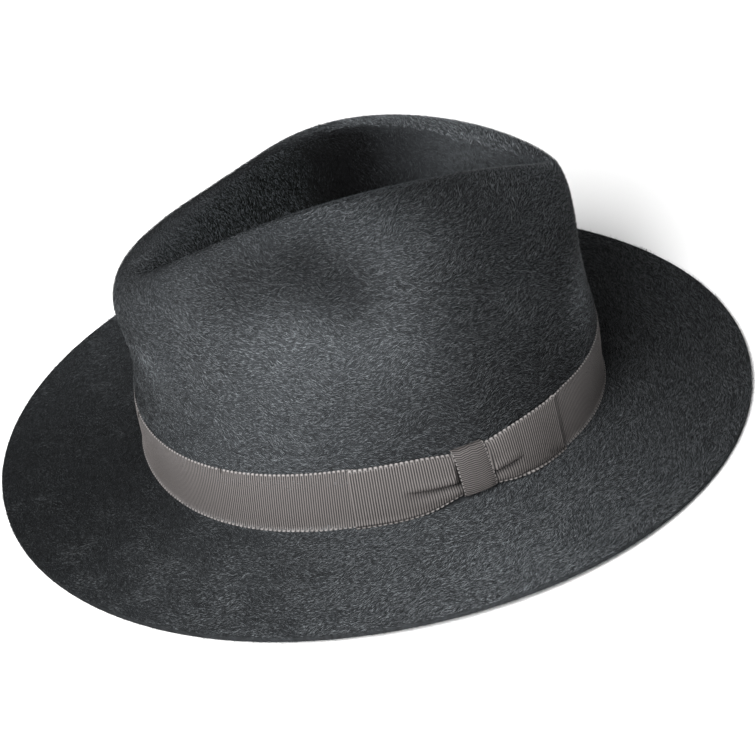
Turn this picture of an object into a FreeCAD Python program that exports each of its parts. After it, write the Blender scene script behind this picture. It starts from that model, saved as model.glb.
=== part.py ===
import FreeCAD, Part
import Sketcher
import math
import os

# A fedora hat of one piece of brushed felt, with a ribbon and a flat bow round the foot of the
# crown, and a leather sweatband and a satin lining inside. Millimetres. +Z is up, the front of
# the hat is -Y and the bow is on the wearer's left, +X. The hat stands on its brim.

doc = FreeCAD.newDocument("fedora_hat")
sheet = doc.addObject("Spreadsheet::Sheet", "Sizes")

SIZES = {
    # brim: seen from above, then how far its edge lies below the foot of the crown
    "felt_thickness": 2.2,
    "brim_half_width": 153.5,
    "brim_half_length": 170.0,
    "brim_front_drop": 7.0,
    "brim_side_drop": 3.3,
    "brim_back_drop": 7.0,
    "brim_corner_drop": 0.4,
    "brim_belly": 3.0,
    # crown wall: half sizes of its plan at four heights
    "foot_half_width": 87.4,
    "foot_half_length": 103.0,
    "foot_squareness": 0.03,
    "top_of_band_half_width": 83.2,
    "top_of_band_half_length": 103.8,
    "waist_half_width": 80.0,
    "waist_half_length": 98.6,
    "brow_half_width": 62.5,
    "brow_half_length": 103.4,
    "brow_shift": -3.0,
    # front pinch: where, how deep and how wide round the crown
    "pinch_angle": 61.0,
    "pinch_depth": 16.8,
    "pinch_spread": 24.8,
    # ridge round the centre dent
    "ridge_half_width": 17.5,
    "ridge_half_length": 92.2,
    "ridge_shift": 1.3,
    "ridge_taper": 0.36,
    "ridge_front_swell": 0.12,
    "ridge_front_height": 100.7,
    "ridge_side_height": 126.3,
    "ridge_back_height": 99.5,
    "dent_front_depth": 20.4,
    "dent_middle_depth": 37.6,
    "dent_back_depth": 14.8,
    # ribbon round the crown, gathered where the knot holds it
    "ribbon_width": 27.0,
    "ribbon_start": 0.8,
    "ribbon_thickness": 0.55,
    "gather_depth": 3.4,
    "gather_spread": 11.0,
    # bow
    "knot_angle": 101.0,
    "knot_width": 15.0,
    "knot_rise": 0.6,
    "front_fold_angle": 71.5,
    "rear_fold_angle": 127.0,
    "loop_bulge": 1.5,
    # sweatband, its reed and its tape
    "sweatband_width": 38.0,
    "sweatband_thickness": 0.8,
    "sweatband_start": 2.2,
    "sweatband_stand_off": 1.1,
    "reed_diameter": 1.6,
    "reed_height": 0.4,
    "tape_thickness": 0.3,
    "seam_stitch_spacing": 4.6,
    "stitch_length": 2.6,
    "thread_diameter": 0.5,
    # label and small bow at the back of the sweatband
    "label_length": 22.0,
    "label_height": 13.0,
    "label_thickness": 0.35,
    "label_corner": 2.0,
    "label_angle": 154.0,
    "small_bow_length": 21.0,
    "small_bow_height": 9.0,
    "small_bow_waist": 3.4,
    "small_bow_thickness": 0.8,
    "small_bow_level": 10.0,
    # lining: a side band and a tip, joined by a piped seam
    "lining_thickness": 0.3,
    "lining_start": 24.0,
    "lining_side_gap": 0.5,
    "lining_tip_gap": 0.9,
    "piping_diameter": 1.8,
    "piping_clearance": 1.1,
    "piping_level": 0.62,
    # the clearance that parts laid on one another keep, and the one that round cords keep
    "lay_clearance": 0.1,
    "cord_clearance": 0.4,
}

for row, (name, value) in enumerate(SIZES.items(), start=1):
    sheet.set("A%d" % row, name)
    sheet.set("B%d" % row, str(value))
    sheet.setAlias("B%d" % row, name)
doc.recompute()


def size(name):
    """One driving dimension, read from the sheet."""
    return float(sheet.get(name))


# ---------------------------------------------------------------- the crown and brim surface

COLUMNS = 32
STEP = 2 * math.pi / COLUMNS
# a cubic net of poles round a closed curve pulls in by this much, so its poles stand out by it
SWELL = 3 / (2 + math.cos(STEP))


def three_way(front, side, back):
    """A height that runs smoothly from the front of the hat over its sides to its back."""
    second = (front + back - 2 * side) / 4
    return lambda a: side + second * (1 + math.cos(2 * a)) + (front - back) / 2 * math.cos(a)


def oval(half_width, half_length, shift, height, square=0.0, taper=0.0, swell=0.0):
    """A closed ring of poles. Angle 0 is the front of the hat and 90 degrees the wearer's left."""
    ring = []
    for j in range(COLUMNS):
        a = (j - 1) * STEP
        corner = SWELL * (1 + square * (1 - math.cos(4 * a)) / 2)
        x = half_width * math.sin(a) * (1 + swell * math.cos(a) - taper * math.cos(2 * a))
        y = -half_length * math.cos(a)
        ring.append(FreeCAD.Vector(x * corner, shift + y * corner, height(a)))
    return ring


def between(ring_a, ring_b, share, lift=0.0):
    """The ring that lies between two others."""
    up = FreeCAD.Vector(0, 0, lift)
    return [a * (1 - share) + b * share + up for a, b in zip(ring_a, ring_b)]


def pinched(ring, depth):
    """A ring pressed in by the finger and the thumb, either side of the front."""
    centre = math.radians(size("pinch_angle"))
    spread = math.radians(size("pinch_spread"))
    out = []
    for j, p in enumerate(ring):
        a = abs(math.remainder((j - 1) * STEP, 2 * math.pi))
        press = depth * math.exp(-((a - centre) / spread) ** 2)
        inward = FreeCAD.Vector(-p.x, -p.y, 0).normalize()
        out.append(p + inward * press)
    return out


def scaled(ring, share_x, share_y, middle_y, height):
    """A smaller copy of a ring, at heights of its own."""
    out = []
    for j, p in enumerate(ring):
        y = middle_y + (p.y - middle_y) * share_y
        out.append(FreeCAD.Vector(p.x * share_x, y, height((j - 1) * STEP)))
    return out


def felt_rings():
    """The net of the felt's outer face, from the brim's edge up the crown and into the dent."""
    square = size("foot_squareness")
    band_top = size("ribbon_start") + size("ribbon_width")
    low = three_way(*[-size("brim_%s_drop" % k) for k in ("front", "side", "back")])
    corner = size("brim_corner_drop")
    edge = oval(size("brim_half_width"), size("brim_half_length"), 0,
                lambda a: low(a) + corner * math.cos(4 * a))
    foot = oval(size("foot_half_width"), size("foot_half_length"), 0, lambda a: 0, square)
    belly = size("brim_belly")
    above_foot = between(foot, foot, 0, 5.0)
    top = oval(size("top_of_band_half_width"), size("top_of_band_half_length"), 0,
               lambda a: band_top, square)
    ridge_height = three_way(*[size("ridge_%s_height" % k) for k in ("front", "side", "back")])
    depth = three_way(*[size("dent_%s_depth" % k) for k in ("front", "middle", "back")])

    def part_way(share):
        return lambda a: band_top + (ridge_height(a) - band_top) * share

    depth_of_pinch = size("pinch_depth")
    waist = oval(size("waist_half_width"), size("waist_half_length"), 0, part_way(0.36), square)
    brow = oval(size("brow_half_width"), size("brow_half_length"), size("brow_shift"),
                part_way(0.74), square)
    brow = pinched(brow, depth_of_pinch)
    ridge = oval(size("ridge_half_width"), size("ridge_half_length"), size("ridge_shift"),
                 ridge_height, 0, size("ridge_taper"), size("ridge_front_swell"))
    shoulder = pinched(between(brow, ridge, 0.38), 0.35 * depth_of_pinch)
    for j, p in enumerate(shoulder):
        p.z = ridge_height((j - 1) * STEP) - 4.0
    middle = size("ridge_shift")
    heights = [ridge_height(j * STEP) - depth(j * STEP) for j in range(COLUMNS)]
    floor = (sum(heights) / COLUMNS + min(heights)) / 2

    def sunk(share):
        return lambda a: ridge_height(a) - share * depth(a)

    return [
        edge,
        between(foot, edge, 0.70, -0.5 * belly),
        between(foot, edge, 0.35, -0.4 * belly),
        between(foot, edge, 0.09, -0.3),
        between(foot, edge, 0.005, 0.2),
        above_foot,
        between(above_foot, top, 0.5),
        top,
        pinched(waist, 0.30 * depth_of_pinch),
        brow,
        shoulder,
        ridge,
        scaled(ridge, 0.60, 0.86, middle, sunk(0.42)),
        scaled(ridge, 0.28, 0.68, middle, sunk(0.88)),
        scaled(ridge, 0.16, 0.50, middle, lambda a: floor),
        scaled(ridge, 0.07, 0.34, middle, lambda a: floor),
    ]


def clamped(count):
    """Multiplicities and knots of a cubic net that reaches its first and last poles."""
    spans = count - 3
    return [4] + [1] * (spans - 1) + [4], [float(k) for k in range(spans + 1)]


def skin(rings):
    """A smooth face over a net of rings: open at both ends, closed round the hat."""
    mults, knots = clamped(len(rings))
    surface = Part.BSplineSurface()
    surface.buildFromPolesMultsKnots(
        rings, mults, [1] * (COLUMNS + 1), knots, [k * STEP for k in range(COLUMNS + 1)],
        False, True, 3, 3)
    return surface


RING_NET = felt_rings()
OUTER = skin(RING_NET)
LAST_U = len(RING_NET) - 3.0


def outward(u, v):
    """The normal that points out of the felt, and the point of the outer face where it stands."""
    p = OUTER.value(u, v)
    along = OUTER.value(min(u + 1e-4, LAST_U), v) - OUTER.value(max(u - 1e-4, 0), v)
    around = OUTER.value(u, v + 1e-4) - OUTER.value(u, v - 1e-4)
    return around.cross(along).normalize(), p


def lined(rings, depth):
    """The net of the face that lies a given depth under the outer one."""
    count = len(rings)
    knots = [0] * 4 + list(range(1, count - 3)) + [count - 3] * 4
    out = []
    for i, ring in enumerate(rings):
        u = sum(knots[i + 1:i + 4]) / 3
        row = []
        for j, p in enumerate(ring):
            normal, _ = outward(u, (j - 1) * STEP)
            row.append(p + normal * -depth)
        out.append(row)
    return out


def sewn(faces):
    """A closed solid from faces that meet along their edges."""
    shell = Part.Compound(faces)
    shell.sewShape(0.01)
    shell = Part.Shell(shell.Faces)
    solid = Part.makeSolid(shell)
    if solid.Volume < 0:
        solid.reverse()
    return solid


INNER = skin(lined(RING_NET, size("felt_thickness")))


def felt_body():
    """Crown and brim are one felt: an outer face, an inner face, the cut edge and the dent's floor."""
    edges = [surface.uIso(u).toShape() for u in (0, LAST_U) for surface in (OUTER, INNER)]
    faces = [OUTER.toShape(), INNER.toShape()]
    faces += Part.makeRuledSurface(edges[0], edges[1]).Faces
    faces += [Part.Face(Part.Wire([edge])) for edge in edges[2:]]
    return sewn(faces)



# ---------------------------------------------------------------- pieces laid on that surface

FOOT_U = 4.0
RIDGE_U = 9.2


def over(angle, height, proud):
    """A point outside the crown: this far out, level, from its wall at an angle in degrees."""
    v = math.radians(angle % 360)
    low = FOOT_U - 2.0
    high = RIDGE_U
    for _ in range(40):
        u = (low + high) / 2
        if OUTER.value(u, v).z < height:
            low = u
        else:
            high = u
    normal, p = outward(u, v)
    return p + FreeCAD.Vector(normal.x, normal.y, 0).normalize() * proud


def inside(angle, height, depth):
    """A point inside the crown: this far under the felt's outer face, square to it."""
    v = math.radians(angle % 360)
    low = FOOT_U - 2.0
    high = RIDGE_U
    for _ in range(40):
        u = (low + high) / 2
        normal, p = outward(u, v)
        if p.z - normal.z * depth < height:
            low = u
        else:
            high = u
    return p - normal * depth


def round_curve(points):
    """A smooth closed edge through points."""
    curve = Part.BSplineCurve()
    curve.interpolate(Points=points, PeriodicFlag=True)
    return curve.toShape()


def hooped(front, back, capped=False):
    """A thin solid between two grids of points, each row of which runs round the head.

    Its last row is open, or is flat and closed by a flat cap on each face.
    """
    faces = []
    ends = []
    for grid in (front, back):
        curves = [round_curve(row) for row in grid]
        faces += Part.makeLoft([Part.Wire([c]) for c in curves], False, False).Faces
        ends.append(curves)
    faces += Part.makeRuledSurface(ends[0][0], ends[1][0]).Faces
    if capped:
        faces += [Part.Face(Part.Wire([curves[-1]])) for curves in ends]
    else:
        faces += Part.makeRuledSurface(ends[0][-1], ends[1][-1]).Faces
    return sewn(faces)


def patch(grid):
    """A smooth open face over a net of poles, straight across where there are only two rows."""
    across, across_knots = clamped(len(grid)) if len(grid) > 2 else ([2, 2], [0.0, 1.0])
    along, along_knots = clamped(len(grid[0]))
    surface = Part.BSplineSurface()
    surface.buildFromPolesMultsKnots(
        grid, across, along, across_knots, along_knots, False, False, min(3, len(grid) - 1), 3)
    return surface.toShape()


def slab(front, back):
    """A thin solid between two open nets of poles, with the four sides that close it."""
    faces = [patch(front), patch(back)]
    for k in (0, -1):
        faces.append(patch([front[k], back[k]]))
        faces.append(patch([[row[k] for row in front], [row[k] for row in back]]))
    return sewn(faces)


def hoop(place, low, high, near, far, rows=4, stations=48):
    """A strip all round the head between two heights, which may change with the angle."""
    grids = []
    for away in (near, far):
        grid = []
        for k in range(rows + 1):
            ring = []
            for j in range(stations):
                a = 360 * j / stations
                height = low(a) + (high(a) - low(a)) * k / rows
                ring.append(place(a, height, away))
            grid.append(ring)
        grids.append(grid)
    return hooped(grids[0], grids[1])


def gather(angle):
    """How far the knot draws both edges of the ribbon in."""
    away = (angle - size("knot_angle")) / size("gather_spread")
    return size("gather_depth") * math.exp(-away ** 2)


def ribbon_low(angle):
    return size("ribbon_start") + gather(angle)


def ribbon_high(angle):
    return size("ribbon_start") + size("ribbon_width") - gather(angle)


def two_sides(path, half):
    """The two lines half a thickness either side of a flat path."""
    sides = ([], [])
    for i, (x, y) in enumerate(path):
        before = path[max(i - 1, 0)]
        after = path[min(i + 1, len(path) - 1)]
        run = after[0] - before[0]
        rise = after[1] - before[1]
        length = math.hypot(run, rise)
        for side, way in zip(sides, (1, -1)):
            side.append((x - way * half * rise / length, y + way * half * run / length))
    return sides


def folded_strip(path, low, high, rows=4):
    """A ribbon along a path of (distance round the foot, proud) places, between two heights."""
    per_degree = math.radians(size("foot_half_width"))
    nets = []
    for side in two_sides(path, size("ribbon_thickness") / 2):
        net = []
        for k in range(rows + 1):
            line = []
            for (away, _), (x, proud) in zip(path, side):
                a = away / per_degree
                height = low(a) + (high(a) - low(a)) * k / rows
                line.append(over(x / per_degree, height, proud))
            net.append(line)
        nets.append(net)
    return slab(nets[0], nets[1])


def wrapped_strip(path, first_angle, last_angle, rows=4):
    """A ribbon along a path of (height, proud) places, between two angles."""
    nets = []
    for side in two_sides(path, size("ribbon_thickness") / 2):
        net = []
        for k in range(rows + 1):
            a = first_angle + (last_angle - first_angle) * k / rows
            net.append([over(a, height, proud) for height, proud in side])
        nets.append(net)
    return slab(nets[0], nets[1])


def ring_tube(height, depth, radius, stations=96, facets=8):
    """A round cord all round the inside of the crown."""
    swell = 3 / (2 + math.cos(2 * math.pi / facets))
    net = []
    for k in range(facets):
        turn = 2 * math.pi * k / facets
        row = []
        for j in range(stations):
            a = 360 * j / stations
            centre = inside(a, height(a), depth)
            level = FreeCAD.Vector(centre.x, centre.y, 0)
            out = (inside(a, height(a), depth - 1) - centre)
            out = FreeCAD.Vector(out.x, out.y, 0).normalize()
            up = FreeCAD.Vector(0, 0, 1)
            reach = radius * swell
            row.append(level + up * (centre.z + reach * math.sin(turn)) + out * reach * math.cos(turn))
        net.append(row)
    surface = Part.BSplineSurface()
    surface.buildFromPolesMultsKnots(
        net, [1] * (facets + 1), [1] * (stations + 1),
        [float(k) for k in range(facets + 1)], [float(k) for k in range(stations + 1)],
        True, True, 3, 3)
    solid = Part.makeSolid(Part.Shell([surface.toShape()]))
    if solid.Volume < 0:
        solid.reverse()
    return solid


def thread(a, b):
    """One straight stitch."""
    return Part.makeCylinder(size("thread_diameter") / 2, (b - a).Length, a, b - a)


# ---------------------------------------------------------------- ribbon and bow


def hatband():
    clear = size("lay_clearance")
    return hoop(over, ribbon_low, ribbon_high, clear, clear + size("ribbon_thickness"), 4, 72)


LEAF_STATIONS = 14


def leaf_levels():
    """How proud the back and the front leaf of a loop lie, at their middles."""
    ribbon = size("ribbon_thickness")
    clear = size("lay_clearance")
    back = 1.5 * ribbon + 2.5 * clear
    return back, back + ribbon + 1.5 * clear


def front_leaf(share):
    """How proud the front leaf stands at a share of the way from the knot to the fold."""
    return leaf_levels()[1] + size("loop_bulge") * math.sin(math.pi * share) ** 1.5


def bow_loop(fold_angle):
    """One loop of the bow: a ribbon laid out to its fold and back over itself to the knot."""
    per_degree = math.radians(size("foot_half_width"))
    way = 1 if fold_angle > size("knot_angle") else -1
    start = size("knot_angle") * per_degree + way * 2.0
    fold = fold_angle * per_degree
    span = fold - start
    back, front = leaf_levels()
    turn = (front - back) / 2
    shares = [0.95 * k / LEAF_STATIONS for k in range(LEAF_STATIONS + 1)]
    path = [(start + span * t, back) for t in shares]
    path += [(fold - way * turn, back), (fold + way * 2 * turn, back + turn)]
    path.append((fold - way * turn, front))
    path += [(start + span * t, front_leaf(t)) for t in reversed(shares)]
    return folded_strip(path, ribbon_low, ribbon_high, 6)


def knot_edge_angle():
    """Half the angle that the knot covers."""
    return math.degrees(size("knot_width") / 2 / size("foot_half_width"))


def bow_knot():
    """A strip over the gathered loops, tucked in above and below the ribbon."""
    centre = size("knot_angle")
    reach = knot_edge_angle()
    half = size("ribbon_thickness") / 2
    clear = size("lay_clearance")
    edge_of_loops = centre + reach
    top = ribbon_high(edge_of_loops) + half + 3 * clear
    foot = ribbon_low(edge_of_loops) - half - 3 * clear
    tucked = half + 2 * clear
    crest = front_leaf(0.25) + 2 * half + size("knot_rise")
    middle = (top + foot) / 2
    down = [(top, tucked), (top, 0.4 * crest), (top, 0.85 * crest), (top - 0.1, crest),
            (top - 1.2, crest), (middle + 0.4 * (top - middle), crest + 0.25)]
    path = down + [(middle, crest + 0.35)]
    path += [(top + foot - height, proud) for height, proud in reversed(down)]
    return wrapped_strip(path, centre - reach, centre + reach)


def bow_tack_stitches():
    """Three short stitches that hold the rear loop down near its fold."""
    knot = size("knot_angle")
    fold = size("rear_fold_angle")
    stitches = []
    for share in (0.80, 0.85, 0.90):
        a = knot + (fold - knot) * share
        proud = front_leaf(share) + size("ribbon_thickness") / 2 + size("thread_diameter") / 2
        proud += size("cord_clearance")
        low = ribbon_low(a) + 3.0
        stitches.append(thread(over(a, low, proud), over(a, low + size("stitch_length"), proud)))
    return Part.Compound(stitches)


def hatband_tack_stitches():
    """Short stitches that tack the ribbon's top edge to the felt, away from the bow."""
    proud = size("lay_clearance") * 2 + size("ribbon_thickness") + size("thread_diameter") / 2
    half = size("stitch_length") / 2
    stitches = []
    for a in (0, 40, 180, 225, 270, 320):
        level = ribbon_high(a)
        stitches.append(thread(over(a, level - half, proud), over(a, level + half, proud)))
    return Part.Compound(stitches)


# ---------------------------------------------------------------- sweatband


def sweatband_depth():
    """How deep the leather's outer face lies under the felt's outer face."""
    return size("felt_thickness") + size("sweatband_stand_off")


def sweatband_face():
    """How deep the face that touches the head lies."""
    return sweatband_depth() + size("sweatband_thickness")


def sweatband_leather():
    low = size("sweatband_start")
    high = low + size("sweatband_width")
    return hoop(inside, lambda a: low, lambda a: high, sweatband_depth(), sweatband_face())


def reed_depth():
    """The reed hangs under the leather, its tape clear of the felt."""
    wrapped = size("tape_thickness") + size("lay_clearance") + size("reed_diameter") / 2
    return size("felt_thickness") + size("cord_clearance") + wrapped


def sweatband_reed():
    return ring_tube(lambda a: size("reed_height"), reed_depth(), size("reed_diameter") / 2)


def sweatband_tape():
    """The tape that wraps the reed and is sewn to the leather and to the felt."""
    bore = size("reed_diameter") / 2 + size("lay_clearance")
    whole = ring_tube(lambda a: size("reed_height"), reed_depth(), bore + size("tape_thickness"))
    return whole.cut(ring_tube(lambda a: size("reed_height"), reed_depth(), bore))


def sweatband_seam_stitches():
    """The row of stitches that joins the leather to the tape, on the leather's face."""
    depth = sweatband_face() + size("thread_diameter") / 2 + 2 * size("lay_clearance")
    level = size("sweatband_start") + 2.0
    radius = (size("foot_half_width") + size("foot_half_length")) / 2 - depth
    count = int(2 * math.pi * radius / size("seam_stitch_spacing"))
    half = math.degrees(size("stitch_length") / 2 / radius)
    stitches = []
    for j in range(count):
        a = 360 * (j + 0.5) / count
        stitches.append(thread(inside(a - half, level, depth), inside(a + half, level, depth)))
    return Part.Compound(stitches)


def sweatband_back_stitches():
    """Two upright rows of stitches each side of the joint at the back of the leather."""
    depth = sweatband_face() + size("thread_diameter") / 2 + 2 * size("lay_clearance")
    first = size("small_bow_level") + size("small_bow_height")
    last = size("sweatband_start") + size("sweatband_width") - 2.0
    count = int((last - first) / (1.6 * size("stitch_length")))
    stitches = []
    for k in range(count):
        low = first + (last - first) * k / count
        for a in (178.4, 181.6):
            ends = [inside(a, low + rise, depth) for rise in (0, size("stitch_length"))]
            stitches.append(thread(*ends))
    return Part.Compound(stitches)


# ---------------------------------------------------------------- lining


def seam_height(a):
    """The level of the lining's piped seam, which follows the ridge."""
    ridge = three_way(*[size("ridge_%s_height" % k) for k in ("front", "side", "back")])
    band_top = size("ribbon_start") + size("ribbon_width")
    return band_top + (ridge(math.radians(a)) - band_top) * size("piping_level")


def lining_depths(gap):
    """How deep the two faces of a piece of the lining lie under the felt's outer face."""
    near = size("felt_thickness") + gap
    return near, near + size("lining_thickness")


def lining_side():
    near, far = lining_depths(size("lining_side_gap"))
    half_seam = size("piping_diameter") / 8
    return hoop(inside, lambda a: size("lining_start"), lambda a: seam_height(a) - half_seam,
                near, far, 8, 64)


def seam_u(angle, depth):
    """Where up the crown the seam runs, at one angle."""
    v = math.radians(angle % 360)
    low = FOOT_U
    high = RIDGE_U
    for _ in range(40):
        u = (low + high) / 2
        normal, p = outward(u, v)
        if p.z - normal.z * depth < seam_height(angle) + size("piping_diameter") / 8:
            low = u
        else:
            high = u
    return low


def lining_tip(rows=16, stations=64):
    """The top of the lining, which lies under the ridge and the dent."""
    grids = []
    for depth in lining_depths(size("lining_tip_gap")):
        grid = []
        for k in range(rows + 1):
            ring = []
            for j in range(stations):
                a = 360 * j / stations
                u = seam_u(a, depth)
                u += (LAST_U - u) * k / rows
                normal, p = outward(u, math.radians(a))
                ring.append(p - normal * depth)
            grid.append(ring)
        level = sum(p.z for p in grid[-1]) / stations
        for p in grid[-1]:
            p.z = level
        grids.append(grid)
    return hooped(grids[0], grids[1], capped=True)


def lining_piping():
    """The thin cord sewn into the lining's seam, on its open side."""
    radius = size("piping_diameter") / 2
    depth = lining_depths(size("lining_tip_gap"))[1] + radius + size("piping_clearance")
    return ring_tube(seam_height, depth, radius)


# ---------------------------------------------------------------- label and small bow


def flat_body(name, outline, thickness):
    """A body with one padded sketch on its upright plane, which faces -Y."""
    body = doc.addObject("PartDesign::Body", name)
    add_pad(body, name, outline, thickness)
    return body


def add_pad(body, name, outline, thickness):
    """Pad a straight-sided outline: each corner is a pair of formulas for its two places."""
    sketch = body.newObject("Sketcher::SketchObject", name + "_outline")
    plane = [f for f in body.Origin.OriginFeatures if f.Role == "XZ_Plane"][0]
    sketch.AttachmentSupport = [(plane, "")]
    sketch.MapMode = "FlatFace"
    places = [FreeCAD.Vector(sx * (k + 2), sy * (k + 1), 0)
              for k, (sx, _, sy, _) in enumerate(outline)]
    count = len(outline)
    for k in range(count):
        sketch.addGeometry(Part.LineSegment(places[k], places[(k + 1) % count]), False)
    for k in range(count):
        sketch.addConstraint(Sketcher.Constraint("Coincident", k, 2, (k + 1) % count, 1))
    for k, (sx, fx, sy, fy) in enumerate(outline):
        for kind, sign, formula in (("DistanceX", sx, fx), ("DistanceY", sy, fy)):
            if sign == 0:
                sketch.addConstraint(Sketcher.Constraint("PointOnObject", k, 1, -2))
                continue
            index = sketch.addConstraint(Sketcher.Constraint(kind, -1, 1, k, 1, sign * 3.0))
            text = "%s(%s)" % ("-" if sign < 0 else "", formula)
            sketch.setExpression("Constraints[%d]" % index, text)
    pad = body.newObject("PartDesign::Pad", name + "_pad")
    pad.Profile = sketch
    pad.setExpression("Length", thickness)
    sketch.Visibility = False
    doc.recompute()
    return pad


def against_sweatband(angle, level, length, height):
    """The placement of a flat upright piece whose top corners lie on the leather's inner face."""
    depth = sweatband_face() + size("cord_clearance")
    reach = math.degrees(length / 2 / size("foot_half_width"))
    ends = [inside(angle + way * reach, level + height / 2, depth) for way in (1, -1)]
    along = (ends[0] - ends[1]).normalize()
    turn = math.degrees(math.atan2(-along.y, -along.x))
    middle = (ends[0] + ends[1]) / 2
    middle.z = level
    return FreeCAD.Placement(middle, FreeCAD.Rotation(FreeCAD.Vector(0, 0, 1), turn))


def size_label():
    """A plain rounded label."""
    half_x = "Sizes.label_length / 2"
    half_y = "Sizes.label_height / 2"
    outline = [(-1, half_x, -1, half_y), (1, half_x, -1, half_y),
               (1, half_x, 1, half_y), (-1, half_x, 1, half_y)]
    body = flat_body("size_label", outline, "Sizes.label_thickness")
    pad = body.Tip
    corners = ["Edge%d" % (k + 1) for k, edge in enumerate(pad.Shape.Edges)
               if abs(edge.tangentAt(edge.FirstParameter).y) > 0.99]
    rounding = body.newObject("PartDesign::Fillet", "size_label_corners")
    rounding.Base = (pad, corners)
    rounding.setExpression("Radius", "Sizes.label_corner")
    doc.recompute()
    level = size("sweatband_start") + size("sweatband_width") / 2
    body.Placement = against_sweatband(size("label_angle"), level, size("label_length"),
                                       size("label_height"))
    return body


def sweatband_bow():
    """The small flat bow at the back of the sweatband: two flared loops and a cross strip."""
    half_x = "Sizes.small_bow_length / 2"
    half_y = "Sizes.small_bow_height / 2"
    waist = "Sizes.small_bow_waist / 2"
    outline = [(-1, half_x, -1, half_y), (0, "", -1, waist), (1, half_x, -1, half_y),
               (1, half_x, 1, half_y), (0, "", 1, waist), (-1, half_x, 1, half_y)]
    body = flat_body("sweatband_bow", outline, "Sizes.small_bow_thickness")
    knot_x = "Sizes.small_bow_waist * 0.6"
    knot_y = "Sizes.small_bow_waist * 0.9"
    strip = [(-1, knot_x, -1, knot_y), (1, knot_x, -1, knot_y),
             (1, knot_x, 1, knot_y), (-1, knot_x, 1, knot_y)]
    add_pad(body, "sweatband_bow_strip", strip, "Sizes.small_bow_thickness * 1.6")
    level = size("small_bow_level")
    body.Placement = against_sweatband(180, level, size("small_bow_length"),
                                       size("small_bow_height"))
    return body


# ---------------------------------------------------------------- the document's pieces

felt_shape = felt_body()
# the hat is lifted until its brim stands on the ground
LIFT = -felt_shape.optimalBoundingBox(True, False).ZMin

SHAPES = {
    "felt_body": felt_shape,
    "hatband_ribbon": hatband(),
    "hatband_tack_stitches": hatband_tack_stitches(),
    "bow_front_loop": bow_loop(size("front_fold_angle")),
    "bow_rear_loop": bow_loop(size("rear_fold_angle")),
    "bow_knot": bow_knot(),
    "bow_tack_stitches": bow_tack_stitches(),
    "sweatband_leather": sweatband_leather(),
    "sweatband_reed": sweatband_reed(),
    "sweatband_tape": sweatband_tape(),
    "sweatband_seam_stitches": sweatband_seam_stitches(),
    "sweatband_back_stitches": sweatband_back_stitches(),
    "lining_side": lining_side(),
    "lining_tip": lining_tip(),
    "lining_piping": lining_piping(),
}

pieces = []
for name, shape in SHAPES.items():
    piece = doc.addObject("Part::Feature", name)
    piece.Shape = shape
    piece.Placement = FreeCAD.Placement(FreeCAD.Vector(0, 0, LIFT), FreeCAD.Rotation())
    pieces.append(piece)
for body in (size_label(), sweatband_bow()):
    body.Placement.Base.z += LIFT
    pieces.append(body)
for piece in pieces:
    piece.Label = piece.Name

doc.recompute()
for item in doc.Objects:
    if "Invalid" in item.State or "Error" in item.State:
        raise RuntimeError("failed: " + item.Name)
for piece in pieces:
    if piece.Shape.isNull() or not piece.Shape.isValid():
        raise RuntimeError("bad shape: " + piece.Label)

os.makedirs("parts", exist_ok=True)
for piece in pieces:
    piece.Shape.exportStep("parts/%s.step" % piece.Label)
    box = piece.Shape.optimalBoundingBox(True, False)
    print("%-26s %9.2f cm3  z %7.2f .. %7.2f" % (piece.Label, piece.Shape.Volume / 1000,
                                                 box.ZMin, box.ZMax))
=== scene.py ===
# %% [markdown]
# # A brushed felt fedora
# The frame holds the hat's real solids: the felt, the ribbon, the bow and what is inside the crown.
# This notebook keeps those sizes and gives each piece the surface that the real one has.
# The felt gets a nap of combed fibres, the ribbon its woven ribs, the bow its pleats.

# %% The frame and its box
import math

import bmesh
import bpy
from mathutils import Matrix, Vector
from mathutils.bvhtree import BVHTree


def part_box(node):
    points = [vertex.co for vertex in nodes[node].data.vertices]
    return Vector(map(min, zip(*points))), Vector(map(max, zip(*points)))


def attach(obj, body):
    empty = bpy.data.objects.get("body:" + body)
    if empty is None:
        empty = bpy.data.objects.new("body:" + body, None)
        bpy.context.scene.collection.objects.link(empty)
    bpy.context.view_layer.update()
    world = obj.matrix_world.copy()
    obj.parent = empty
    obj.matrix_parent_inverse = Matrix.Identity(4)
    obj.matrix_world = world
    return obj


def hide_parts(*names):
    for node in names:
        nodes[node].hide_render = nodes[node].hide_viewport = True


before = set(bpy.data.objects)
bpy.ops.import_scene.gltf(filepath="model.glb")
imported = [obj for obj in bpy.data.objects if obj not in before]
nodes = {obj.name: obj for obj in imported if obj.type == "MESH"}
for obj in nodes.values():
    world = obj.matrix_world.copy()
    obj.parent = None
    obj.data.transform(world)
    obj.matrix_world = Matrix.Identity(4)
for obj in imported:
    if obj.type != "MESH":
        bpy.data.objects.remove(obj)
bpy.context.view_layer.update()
MM = 0.001

# %% [markdown]
# ## Seeing the hat
# A product camera has a long lens, so the brim keeps its oval. It looks at the foot of the crown
# from the wearer's left, a little above, and is rolled so that the hat's front dips in the picture.
# A long lens with the camera far away could also be made with an orthographic camera, but then
# the near brim would not look nearer than the far one.

# %% The camera
RIBBON_START = 0.8 * MM
CROWN_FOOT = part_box("hatband_ribbon")[0][2] - RIBBON_START
AZIMUTH, ELEVATION, ROLL = math.radians(78.1), math.radians(35.15), math.radians(-9.05)
DISTANCE = 1.4
LENS = 149.3
SENSOR = 36.0
# How far the middle of the view lies from the crown's foot, in millimetres.
AIM_RIGHT, AIM_UP = 2.0, 10.1

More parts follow.
